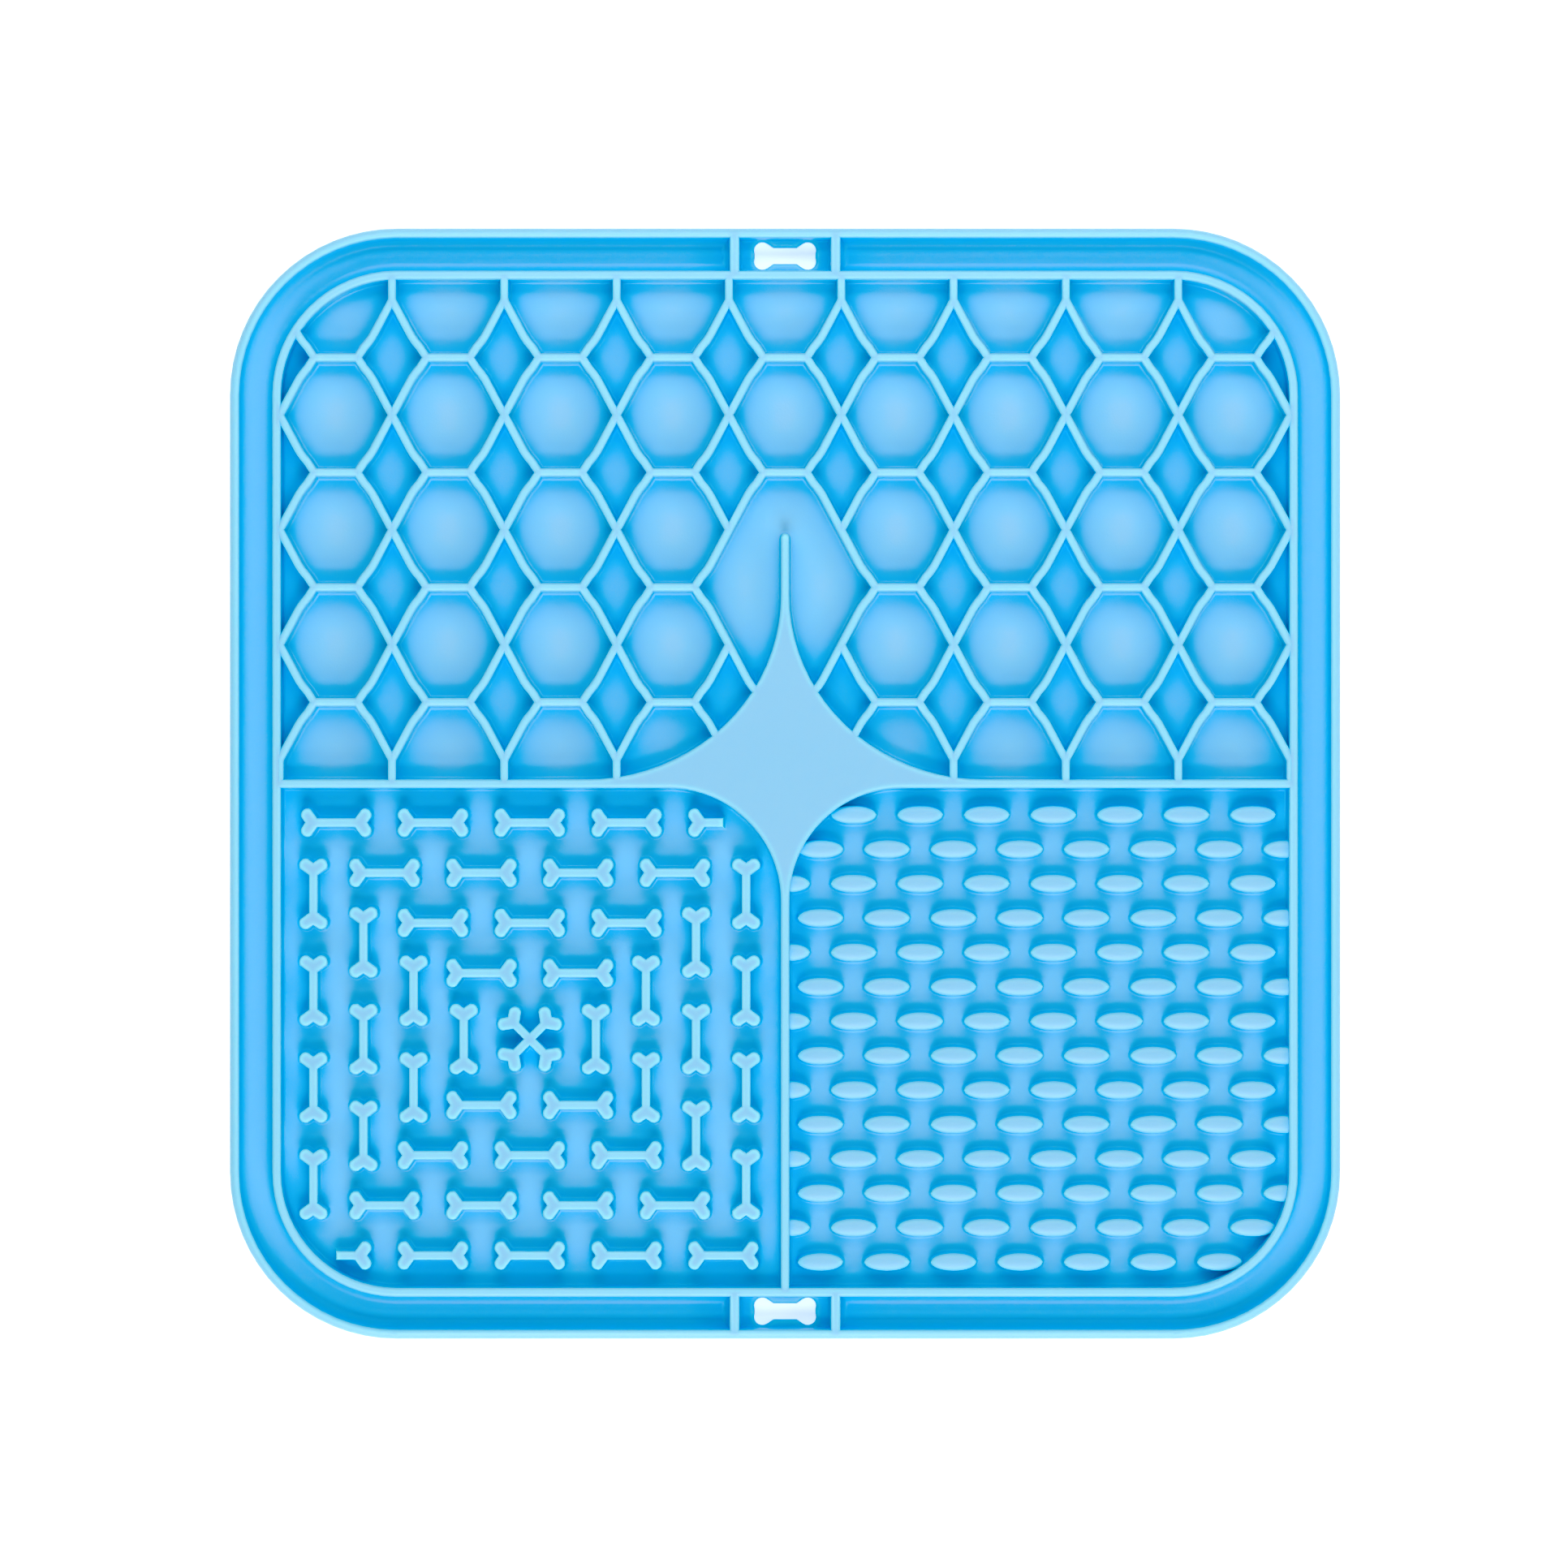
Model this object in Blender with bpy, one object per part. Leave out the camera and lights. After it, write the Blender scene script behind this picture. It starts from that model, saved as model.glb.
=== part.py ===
"""A square lick mat, moulded in one piece from silicone, lying face up.

The base sheet carries an outer lip, a moat, an inner rim and three textured panels: a lattice of
barrel-shaped hexagon cells with diamonds between them, rings of bone-shaped ridges, and rows of
ovals. A four-pointed star covers the crossing of the dividers. Each hanging tab is the stretch of
moat, lip and rim round one bone-shaped eyelet. Metres, +Z up, the underside on Z = 0, and the
origin at the middle of the underside. "Top" and "bottom" of the face mean +Y and -Y.
"""

import math

import bmesh
import bpy

# Outline and heights
HALF = 0.1
CORNER_CENTRE = 0.07
LIP_WIDTH = 0.0017
MOAT_WIDTH = 0.0059
RIM_WIDTH = 0.00165
FLOOR = 0.002
WALL_TOP = 0.007
BONE_TOP = 0.0065
OVAL_TOP = 0.006
DIVIDER = 0.0016
GAP = 0.0003
MARGIN = 0.001
CORNER_STEPS = 8

# Lattice of the upper panel, from the middle of the star
RIB = 0.0016
CELL_PITCH_X = 0.02023
CELL_PITCH_Y = 0.02069
FIRST_BAR = 0.01467
BAR_ROWS = 4
CELL_COLUMNS = 4
KNEE = 0.0039
RIB_BEND_X = 0.0066
RIB_BEND_RISE = 0.0065
CENTRE_CELL_BAR = 2

# Star: the curves above the divider are quarter ellipses, those below it are quarter circles
STAR_SPREAD = 0.035
STAR_RISE = 0.0332
SPIKE_WIDTH = 0.0015
SPIKE_TIP = 0.045
STAR_LOWER_RADIUS = 0.0202
STAR_STEPS = 8

# Bones panel
BONES_CENTRE = -0.046
BONE_RINGS = 4
FIRST_RING = 0.0119
RING_PITCH = 0.00903
BONE_PITCH = 0.01744
BONE_HALF = 0.0063
BONE_SHAFT = 0.0016
BONE_NECK = 0.003
BONE_KNOB_HALF = 0.0025
BONE_LOBE = 0.0011
BONE_NOTCH = 0.0007
CROSSED_LIMB = 0.0064

# Ovals panel
OVAL_LONG = 0.0082
OVAL_SHORT = 0.0032
OVAL_SIDES = 8
OVAL_ROWS = 14
OVAL_COLUMNS = 8
OVAL_PITCH_X = 0.012
OVAL_PITCH_Y = 0.0062
FIRST_OVAL_ROW = 0.0056
FIRST_OVAL_COLUMN = 0.00035

# Hanging tabs
TAB_HALF = 0.01
TAB_RIB = 0.0018
EYELET_Y = 0.09535
EYELET_HALF = 0.0056
EYELET_KNOB_HALF = 0.0025
EYELET_LOBE = 0.0015
EYELET_SHAFT = 0.0029
EYELET_NECK = 0.0019

# A knob's lobe is round between these angles in degrees, from its inner side to its tip
LOBE_START = 110
LOBE_END = 10

LIGHT_BLUE = (0.13, 0.55, 0.93)

MOAT_OUTER = HALF - LIP_WIDTH
MOAT_INNER = MOAT_OUTER - MOAT_WIDTH
PANEL_EDGE = MOAT_INNER - RIM_WIDTH
HALF_DIVIDER = DIVIDER / 2


def clear_scene():
    for obj in list(bpy.data.objects):
        bpy.data.objects.remove(obj, do_unlink=True)


def silicone(name, colour):
    """Soft moulded silicone: a satin, slightly waxy plastic."""
    made = bpy.data.materials.new(name)
    made.use_nodes = True
    shader = made.node_tree.nodes["Principled BSDF"]
    shader.inputs["Base Color"].default_value = (*colour, 1.0)
    shader.inputs["Roughness"].default_value = 0.45
    shader.inputs["Metallic"].default_value = 0.0
    made.diffuse_color = (*colour, 1.0)
    return made


def arc(centre, radii, start, end, steps):
    """Points along part of an ellipse, from one angle in degrees to another."""
    angles = [math.radians(start + (end - start) * k / steps) for k in range(steps + 1)]
    return [
        (centre[0] + radii[0] * math.cos(a), centre[1] + radii[1] * math.sin(a))
        for a in angles
    ]


def corner(edge, sign_x, sign_y, start, turn=90):
    """One rounded corner of a concentric square whose sides lie at edge."""
    radius = edge - CORNER_CENTRE
    centre = (sign_x * CORNER_CENTRE, sign_y * CORNER_CENTRE)
    return arc(centre, (radius, radius), start, start + turn, CORNER_STEPS)


def rounded_square(edge):
    corners = ((1, 1, 0), (-1, 1, 90), (-1, -1, 180), (1, -1, 270))
    return [point for sx, sy, start in corners for point in corner(edge, sx, sy, start)]


def mirrored(points):
    """The same outline on the other side of X = 0."""
    return [(-x, y) for x, y in reversed(points)]


def extrude_faces(mesh, faces, height):
    """Raise flat faces into closed prisms."""
    raised = bmesh.ops.extrude_face_region(mesh, geom=faces, use_keep_orig=True)["geom"]
    top = [item for item in raised if isinstance(item, bmesh.types.BMVert)]
    bmesh.ops.translate(mesh, verts=top, vec=(0, 0, height))
    bmesh.ops.recalc_face_normals(mesh, faces=mesh.faces)


def flat_faces(mesh, outlines, z):
    return [mesh.faces.new([mesh.verts.new((x, y, z)) for x, y in outline]) for outline in outlines]


def add_object(name, mesh, material=None):
    data = bpy.data.meshes.new(name)
    mesh.to_mesh(data)
    mesh.free()
    obj = bpy.data.objects.new(name, data)
    bpy.context.scene.collection.objects.link(obj)
    if material:
        data.materials.append(material)
    return obj


def prisms(name, outlines, low, high, material=None):
    """Upright prisms on separate outlines, as one object."""
    mesh = bmesh.new()
    extrude_faces(mesh, flat_faces(mesh, outlines, low), high - low)
    return add_object(name, mesh, material)


def as_cutter(obj):
    obj.hide_render = True
    obj.display_type = "WIRE"
    return obj


def cutter(name, outlines, low, high):
    return as_cutter(prisms(name, outlines, low, high))


def boolean(obj, operation, other):
    modifier = obj.modifiers.new(f"{operation.title()} {other.name}", "BOOLEAN")
    modifier.operation = operation
    modifier.solver = "EXACT"
    modifier.object = other


# ------------------------------------------------------------------ lattice panel


def slant(x, y, side, down):
    """Centre line of a slanted rib, from a bar's knee to the crossing half a pitch away."""
    rise = -1 if down else 1
    half = CELL_PITCH_Y / 2
    return [
        (x + side * KNEE, y),
        (x + side * RIB_BEND_X, y + rise * (half - RIB_BEND_RISE)),
        (x + side * CELL_PITCH_X / 2, y + rise * half),
    ]


def bar_y(row):
    return FIRST_BAR + row * CELL_PITCH_Y


def hexagon(column, low_row):
    """Centre lines round the barrel-shaped cell above bar low_row."""
    x = column * CELL_PITCH_X
    low, high = bar_y(low_row), bar_y(low_row + 1)
    right = slant(x, low, 1, False) + slant(x, high, 1, True)[-2::-1]
    left = slant(x, high, -1, True) + slant(x, low, -1, False)[-2::-1]
    return right + left


def edge_cell(column, row, wall_y):
    """A cell between a bar and a wall, whose ribs run straight once they reach the crossings."""
    x = column * CELL_PITCH_X
    down = wall_y < bar_y(row)
    right = slant(x, bar_y(row), 1, down) + [(x + CELL_PITCH_X / 2, wall_y)]
    left = slant(x, bar_y(row), -1, down) + [(x - CELL_PITCH_X / 2, wall_y)]
    return right + left[::-1]


def diamond(column, row):
    """The cell between four slanted ribs, right of a column and level with a bar."""
    x, next_x, y = column * CELL_PITCH_X, (column + 1) * CELL_PITCH_X, bar_y(row)
    return (
        slant(x, y, 1, True)[::-1]
        + slant(x, y, 1, False)[1:]
        + slant(next_x, y, -1, False)[-2::-1]
        + slant(next_x, y, -1, True)[1:-1]
    )[::-1]


def centre_cell():
    """The tall cell round the star's spike: one and a half hexagons with the diamonds beside them."""
    bar = bar_y(CENTRE_CELL_BAR)
    neighbour = bar_y(CENTRE_CELL_BAR - 1)
    upper = slant(0, bar, 1, True)
    outward = slant(CELL_PITCH_X, neighbour, -1, False)[-2::-1]
    inward = slant(CELL_PITCH_X, neighbour, -1, True)[1:]
    lower = slant(0, bar_y(CENTRE_CELL_BAR - 2), 1, False)[-2::-1]
    right = upper + outward + inward + lower
    return right + mirrored(right)


def lattice_outlines():
    inside_centre = {(0, 0), (0, 1)}
    columns = range(-CELL_COLUMNS, CELL_COLUMNS + 1)
    found = [centre_cell()]
    for column in columns:
        found.append(edge_cell(column, BAR_ROWS - 1, MOAT_OUTER))
        found.append(edge_cell(column, 0, -MARGIN))
        found += [
            hexagon(column, row)
            for row in range(BAR_ROWS - 1)
            if (column, row) not in inside_centre
        ]
    for column in range(-CELL_COLUMNS - 1, CELL_COLUMNS + 1):
        for row in range(BAR_ROWS):
            beside_spike = column in (-1, 0) and row == CENTRE_CELL_BAR - 1
            if not beside_spike:
                found.append(diamond(column, row))
    return found


def upper_panel_outline():
    """The space above the horizontal divider, inside the rim, less the star and its spike."""
    half_spike = SPIKE_WIDTH / 2
    centre = (half_spike + STAR_SPREAD, HALF_DIVIDER + STAR_RISE)
    curve = arc(centre, (STAR_SPREAD, STAR_RISE), 270, 180, STAR_STEPS)
    right = [(PANEL_EDGE, HALF_DIVIDER)] + curve + [(half_spike, SPIKE_TIP)]
    return right + mirrored(right) + corner(PANEL_EDGE, -1, 1, 180, -90) + corner(PANEL_EDGE, 1, 1, 90, -90)


def lattice_cells():
    """A cutter for every cell: each outline of rib centre lines is inset by half a rib."""
    mesh = bmesh.new()
    faces = flat_faces(mesh, lattice_outlines(), FLOOR)
    bmesh.ops.recalc_face_normals(mesh, faces=faces)
    rings = bmesh.ops.inset_individual(
        mesh, faces=faces, thickness=RIB / 2, use_even_offset=True
    )["faces"]
    bmesh.ops.delete(mesh, geom=rings, context="FACES")
    extrude_faces(mesh, list(mesh.faces), WALL_TOP + MARGIN - FLOOR)
    cells = as_cutter(add_object("lattice_cells", mesh))
    panel = cutter("upper_panel", [upper_panel_outline()], 0, WALL_TOP + 2 * MARGIN)
    boolean(cells, "INTERSECT", panel)
    return cells


# ------------------------------------------------------------------ lower panels


def lower_panel_outline():
    """The right-hand lower panel: square corners on the dividers, round ones at the star and rim."""
    star_centre = (HALF_DIVIDER + STAR_LOWER_RADIUS, -HALF_DIVIDER - STAR_LOWER_RADIUS)
    radii = (STAR_LOWER_RADIUS, STAR_LOWER_RADIUS)
    return (
        [(PANEL_EDGE, -HALF_DIVIDER)]
        + arc(star_centre, radii, 90, 180, STAR_STEPS)
        + [(HALF_DIVIDER, -PANEL_EDGE)]
        + corner(PANEL_EDGE, 1, -1, 270)
    )


def knob(half_length, half_height, lobe, steps):
    """The round upper lobe at the end of a bone that lies along +X, from its inner side to its tip."""
    centre = (half_length - lobe, half_height - lobe)
    return arc(centre, (lobe, lobe), LOBE_START, LOBE_END, steps)


def bone_end():
    """One end of a bone that lies along +X: round its two lobes, from the shaft's top edge to its bottom."""
    upper = [(BONE_NECK, BONE_SHAFT / 2)] + knob(BONE_HALF, BONE_KNOB_HALF, BONE_LOBE, 1)
    notch = (BONE_HALF - BONE_NOTCH, 0.0)
    return upper + [notch] + [(x, -y) for x, y in reversed(upper)]


def bone():
    end = bone_end()
    return end + [(-x, -y) for x, y in end]


def half_bone():
    half_shaft = BONE_SHAFT / 2
    return [(0.0, half_shaft)] + bone_end() + [(0.0, -half_shaft)]


def crossed_bones():
    """Four short limbs at right angles, each with a knob."""
    half_shaft = BONE_SHAFT / 2
    shift = CROSSED_LIMB - BONE_HALF
    limb = [(half_shaft, half_shaft)] + [(x + shift, y) for x, y in bone_end()]
    return [point for turn in (45, -45, -135, 135) for point in placed(limb, 0, 0, turn)]


def placed(outline, x, y, turn):
    """An outline turned by some degrees and moved."""
    c, s = math.cos(math.radians(turn)), math.sin(math.radians(turn))
    return [(x + px * c - py * s, y + px * s + py * c) for px, py in outline]


def bone_outlines():
    """Rings of bones round the crossed pair. Each side of ring n holds n + 2 along X and n + 1 along Y."""
    centre = BONES_CENTRE
    found = [placed(crossed_bones(), centre, centre, 0)]
    for ring in range(BONE_RINGS):
        offset = FIRST_RING + ring * RING_PITCH
        outermost = ring == BONE_RINGS - 1
        for side in (-1, 1):
            for k in range(ring + 2):
                x = (k - (ring + 1) / 2) * BONE_PITCH
                cut_short = outermost and k == (ring + 1 if side > 0 else 0)
                shape = placed(half_bone(), 0, 0, 180 if side > 0 else 0) if cut_short else bone()
                found.append(placed(shape, centre + x, centre + side * offset, 0))
            for k in range(ring + 1):
                y = (k - ring / 2) * BONE_PITCH
                found.append(placed(bone(), centre + side * offset, centre + y, 90))
    return found


def oval_outlines():
    radii = (OVAL_LONG / 2, OVAL_SHORT / 2)
    found = []
    for row in range(OVAL_ROWS):
        y = -FIRST_OVAL_ROW - row * OVAL_PITCH_Y
        shift = FIRST_OVAL_COLUMN + (row % 2) * OVAL_PITCH_X / 2
        for column in range(OVAL_COLUMNS):
            whole = arc((shift + column * OVAL_PITCH_X, y), radii, 0, 360, OVAL_SIDES)
            found.append(whole[:-1])
    return found


def textured_panel(name, outline, bumps, bump_top):
    """A cutter for a lower panel that leaves its bumps standing."""
    panel = cutter(name, [outline], FLOOR, WALL_TOP + MARGIN)
    standing = cutter(f"{name}_bumps", bumps, FLOOR - MARGIN, bump_top)
    boolean(panel, "DIFFERENCE", standing)
    return panel


# ------------------------------------------------------------------ edge and tabs


def moat_half():
    """The right-hand half of the moat, from inside one tab round to inside the other."""
    end = TAB_HALF - TAB_RIB
    outer = [(end, -MOAT_OUTER)] + corner(MOAT_OUTER, 1, -1, 270) + corner(MOAT_OUTER, 1, 1, 0)
    inner = corner(MOAT_INNER, 1, 1, 90, -90) + corner(MOAT_INNER, 1, -1, 0, -90)
    return outer + [(end, MOAT_OUTER), (end, MOAT_INNER)] + inner + [(end, -MOAT_INNER)]


def rectangle(half_x, low_y, high_y):
    return [(-half_x, low_y), (half_x, low_y), (half_x, high_y), (-half_x, high_y)]


def eyelet_outline():
    """A bone-shaped hole, with two round lobes at each end."""
    upper = [(EYELET_NECK, EYELET_SHAFT / 2)] + knob(EYELET_HALF, EYELET_KNOB_HALF, EYELET_LOBE, 3)
    end = upper + [(x, -y) for x, y in reversed(upper)]
    return end + [(-x, -y) for x, y in end]


def hanging_tab(name, side, material):
    """The stretch of base, lip and rim round one eyelet, with a cross rib at each end."""
    low, high = sorted((side * PANEL_EDGE, side * HALF))
    tab = prisms(name, [rectangle(TAB_HALF, low, high)], 0, WALL_TOP, material)
    low, high = sorted((side * MOAT_INNER, side * MOAT_OUTER))
    pocket = [rectangle(TAB_HALF - TAB_RIB, low, high)]
    boolean(tab, "DIFFERENCE", cutter(f"{name}_pocket", pocket, FLOOR, WALL_TOP + MARGIN))
    hole = [placed(eyelet_outline(), 0, side * EYELET_Y, 0)]
    boolean(tab, "DIFFERENCE", cutter(f"{name}_eyelet", hole, -MARGIN, FLOOR + MARGIN))
    return tab


def tab_notches():
    """Room for the tabs in the mat, with the small gap that touching solids keep."""
    found = []
    for side in (-1, 1):
        low, high = sorted((side * (PANEL_EDGE - GAP), side * (HALF + MARGIN)))
        found.append(rectangle(TAB_HALF + GAP, low, high))
    return cutter("tab_notches", found, -MARGIN, WALL_TOP + MARGIN)


def build():
    clear_scene()
    blue = silicone("light_blue_silicone", LIGHT_BLUE)
    mat = prisms("mat", [rounded_square(HALF)], 0, WALL_TOP, blue)
    right_panel = lower_panel_outline()
    cutters = (
        cutter("moat", [moat_half(), mirrored(moat_half())], FLOOR, WALL_TOP + MARGIN),
        lattice_cells(),
        textured_panel("bones_panel", mirrored(right_panel), bone_outlines(), BONE_TOP),
        textured_panel("ovals_panel", right_panel, oval_outlines(), OVAL_TOP),
        tab_notches(),
    )
    for each in cutters:
        boolean(mat, "DIFFERENCE", each)
    hanging_tab("hanging_tab_top", 1, blue)
    hanging_tab("hanging_tab_bottom", -1, blue)


build()
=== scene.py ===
"""A square lick mat, moulded in one piece from soft blue silicone, lying face up on a pale floor.

The mat is modelled in the frame of its CAD solids: metres, +Z up, the underside on Z = 0 and the
origin at the middle of the underside. A blank is cut by tools for the moat, the tabs and the three
panels, and then the ribs, bones and ovals are joined on. "Top" and "bottom" of the face mean +Y
and -Y.
"""

import math
from contextlib import contextmanager

import bmesh
import bpy
from bpy.props import FloatProperty, FloatVectorProperty, PointerProperty
from mathutils import Matrix, Vector


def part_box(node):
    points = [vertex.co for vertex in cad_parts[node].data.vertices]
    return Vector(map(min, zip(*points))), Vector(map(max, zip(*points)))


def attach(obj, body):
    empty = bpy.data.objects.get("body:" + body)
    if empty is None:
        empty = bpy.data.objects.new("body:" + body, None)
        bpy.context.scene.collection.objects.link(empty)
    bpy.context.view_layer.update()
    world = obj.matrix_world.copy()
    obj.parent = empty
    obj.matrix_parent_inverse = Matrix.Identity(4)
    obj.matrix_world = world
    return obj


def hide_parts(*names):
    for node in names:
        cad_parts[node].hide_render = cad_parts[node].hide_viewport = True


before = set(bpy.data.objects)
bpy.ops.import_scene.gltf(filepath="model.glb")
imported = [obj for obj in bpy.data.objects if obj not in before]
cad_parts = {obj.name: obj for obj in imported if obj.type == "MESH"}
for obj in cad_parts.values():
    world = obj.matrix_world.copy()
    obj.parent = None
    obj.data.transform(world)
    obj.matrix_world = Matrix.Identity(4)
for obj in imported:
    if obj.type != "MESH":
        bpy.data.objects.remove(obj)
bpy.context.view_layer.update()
MAT_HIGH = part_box("mat")[1]

bl_info = {
    "name": "Silicone Lick Mat",
    "version": (1, 0, 0),
    "blender": (4, 5, 0),
    "location": "View3D > Sidebar > Lick Mat",
    "description": "Models a moulded silicone lick mat with a moat and three textured panels",
    "category": "Object",
}

# Lengths are in metres and angles in degrees.

# Moulded edges: round lips, round feet, and the draft by which each wall leans
EDGE = 0.0006
OUTER_EDGE = 0.0011
FLOOR_ROUND = 0.0005
MOAT_FLOOR_ROUND = 0.0015
FOOT = 0.0005
DRAFT = 0.00015
STEPS = 4
FACING = 0.99
SMOOTH_UNDER = 40

# Small overlaps, so that no two shapes in a cut or a join share a face. A flare starts OVERRUN
# outside its surface, and LEAD is how far its first step runs on to get there.
OVERRUN = 0.00002
LEAD = OVERRUN / math.tan(math.radians(90 / STEPS / 2))
SINK = 0.0005
CLEAR = 0.001
HAIR = 0.00001

# Outline of the mat, its moat and its rims, whose round corners share their centres
CORNER_CENTRE = 0.07
LIP_WIDTH = 0.0017
MOAT_WIDTH = 0.0059
RIM_WIDTH = 0.00165
DIVIDER = 0.0016
CORNER_STEPS = 16
UNDERSIDE_ROUND = 0.0003
OVERLAP = 0.0006

# Lattice. Level bars join the slanted ribs at knees. SLANT_BEND gives points on a slanted rib, as
# the distance across from the cell's middle and the distance short of the next bar's level.
RIB = 0.0015
CELL_PITCH_X = 0.02023
CELL_PITCH_Y = 0.02069
FIRST_BAR = 0.01467
BAR_ROWS = 4
CELL_COLUMNS = 4
KNEE = 0.0039
SLANT_BEND = ((0.00718, 0.0055), (0.00663, 0.0065), (0.00594, 0.0075), (0.0051, 0.0085))
CENTRE_CELL_BAR = 2

# Star: quarter ellipses above the divider and quarter circles below it
STAR_SPREAD = 0.035
STAR_RISE = 0.0332
SPIKE_WIDTH = 0.0015
SPIKE_TIP = 0.045
SPIKE_TIP_STEPS = 4
STAR_LOWER_RADIUS = 0.0202
STAR_STEPS = 20

# Bones. A knob's round lobe runs from its inner side to its tip between two angles.
LOBE_START = 125
LOBE_END = -20
BONES_CENTRE = -0.046
BONE_RINGS = 4
FIRST_RING = 0.0119
RING_PITCH = 0.00903
BONE_PITCH = 0.01744
BONE_HALF = 0.0064
BONE_SHAFT = 0.0016
BONE_NECK = 0.003
BONE_KNOB_HALF = 0.0026
BONE_LOBE = 0.00122
BONE_LOBE_STEPS = 6
BONE_NOTCH = 0.0006
CROSSED_LIMB = 0.0064
BONE_ROUND = 0.0004

# Ovals
OVAL_LONG = 0.0082
OVAL_SHORT = 0.0032
OVAL_SIDES = 24
OVAL_BLUNTNESS = 2.15
OVAL_ROWS = 14
OVAL_COLUMNS = 8
OVAL_PITCH_X = 0.012
OVAL_PITCH_Y = 0.0062
FIRST_OVAL_ROW = 0.0056
FIRST_OVAL_COLUMN = 0.00035
OVAL_RISE = 0.0007
DOME_STEPS = 4
DOME_CROWN = 0.6

# Hanging tabs
TAB_HALF = 0.01
TAB_RIB = 0.0018
EYELET_Y = 0.09535
EYELET_HALF = 0.0056
EYELET_KNOB_HALF = 0.0025
EYELET_LOBE = 0.0015
EYELET_LOBE_STEPS = 7
EYELET_SHAFT = 0.0029
EYELET_NECK = 0.0019

# Silicone. Painted shade: openness is judged over SHADE_REACH, and SHADE_CLOSED of it or less
# is painted the deep colour, as shade in the grooves, and SHADE_OPEN or more the face colour.
# Painted highlight: a wall thinner than GLOW_REACH is painted the paler edge colour.
SHADE_REACH = 0.0075
SHADE_CLOSED = 0.26
SHADE_OPEN = 0.96
PAINTED_LIGHT_SAMPLES = 3
GLOW_REACH = 0.0011
GLOW_THIN = 0.6
CLOUD_SIZE = 0.03
CLOUD_TINT = (0.96, 0.98, 0.99, 1.0)
ROUGHNESS_SPREAD = 0.03
GRAIN_SIZE = 0.00035
GRAIN_DEPTH = 0.00004
GRAIN_STRENGTH = 0.35
SILICONE_IOR = 1.41
LIGHT_REACH = (0.35, 0.7, 1.0)
LIGHT_REACH_SCALE = 0.002

# Studio: each lamp's name, place, size and power in watts. All face the middle of the mat.
LAMPS = (
    ("south_high", (0.0, -0.7, 1.2), (0.6, 0.25), 4.6),
    ("south_low", (0.0, -0.7, 0.5), (0.6, 0.4), 3.4),
    ("north_high", (0.0, 0.7, 1.2), (0.6, 0.25), 2.0),
    ("north_near", (0.0, 0.25, 0.24), (0.6, 0.12), 0.5),
    ("east_high", (0.7, 0.0, 0.55), (0.6, 0.25), 1.0),
    ("overhead", (0.0, 0.0, 1.7), (2.0, 2.0), 3.0),
)
AIR_STRENGTH = 0.43
FLOOR_ROUGHNESS = 0.7
FLOOR_GLOW = 0.4
FLOOR_RADIUS = 2.6
COVE_RADIUS = 0.35
COVE_TOP = 0.4
COVE_STEPS = 12
COVE_TURNS = 96
FLOOR_DROP = 0.0001
CAMERA_PLACE = (-0.00019, -0.00006, 1.5)
SENSOR_WIDTH = 36
VIEW_WIDTH = 0.28225

# The camera's red, before and after its curve
CAMERA_REDS = (
    (0.1, 0.002),
    (0.13, 0.01),
    (0.147, 0.046),
    (0.171, 0.105),
    (0.2, 0.152),
    (0.257, 0.208),
    (0.3, 0.275),
    (0.6, 0.6),
)


def size_property(name, description, default):
    return FloatProperty(
        name=name, description=description, default=default, min=0.0, subtype="DISTANCE"
    )


def linear(code):
    """An sRGB hex colour as linear RGBA."""
    values = [int(code[k : k + 2], 16) / 255 for k in (1, 3, 5)]
    return [v / 12.92 if v <= 0.04045 else ((v + 0.055) / 1.055) ** 2.4 for v in values] + [1.0]


def colour_property(name, description, code):
    return FloatVectorProperty(
        name=name,
        description=description,
        default=linear(code),
        size=4,
        min=0.0,
        max=1.0,
        subtype="COLOR",
    )


def share_property(name, description, default):
    return FloatProperty(
        name=name, description=description, default=default, min=0.0, max=1.0, subtype="FACTOR"
    )


class LickMatSizes(bpy.types.PropertyGroup):
    """Sizes of the mat."""

    half_side: size_property("Half side", "From the middle of the mat to a side", MAT_HIGH[0])
    wall_top: size_property("Wall top", "Height of the lip, rims, ribs and star", MAT_HIGH[2])
    floor_top: size_property("Floor", "Thickness of the base under the panels and the moat", 0.002)
    bone_top: size_property("Bone top", "Height of the bone-shaped ridges", 0.0065)
    oval_top: size_property("Oval top", "Height of the oval bumps", 0.006)


class LickMatFinish(bpy.types.PropertyGroup):
    """Colour and finish of the silicone."""

    face_colour: colour_property("Face colour", "Silicone that faces the open air", "#8ABCDB")
    # Painted shade: the next colour is painted into the grooves for the shade that falls there.
    shade_colour: colour_property("Deep colour", "Silicone deep in a narrow groove", "#65BFF0")
    # Painted highlight: the next colour is painted on thin edges for the light they catch and let
    # through.
    glow_colour: colour_property("Edge colour", "Thin edges that light passes through", "#92D9E6")
    roughness: share_property("Roughness", "Satin surface of a lightly blasted mould", 0.42)
    translucency: share_property("Translucency", "How much light travels through the silicone", 0.3)


# ------------------------------------------------------------------ outlines


def arc(centre, radii, start, end, steps):
    """Points along part of an ellipse, from one angle in degrees to another."""
    angles = [math.radians(start + (end - start) * k / steps) for k in range(steps + 1)]
    return [
        (centre[0] + radii[0] * math.cos(a), centre[1] + radii[1] * math.sin(a)) for a in angles
    ]


def corner(edge, sign_x, sign_y, start, turn=90):
    """One rounded corner of a concentric square whose sides lie at edge."""
    radius = edge - CORNER_CENTRE
    centre = (sign_x * CORNER_CENTRE, sign_y * CORNER_CENTRE)
    return arc(centre, (radius, radius), start, start + turn, CORNER_STEPS)


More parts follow.
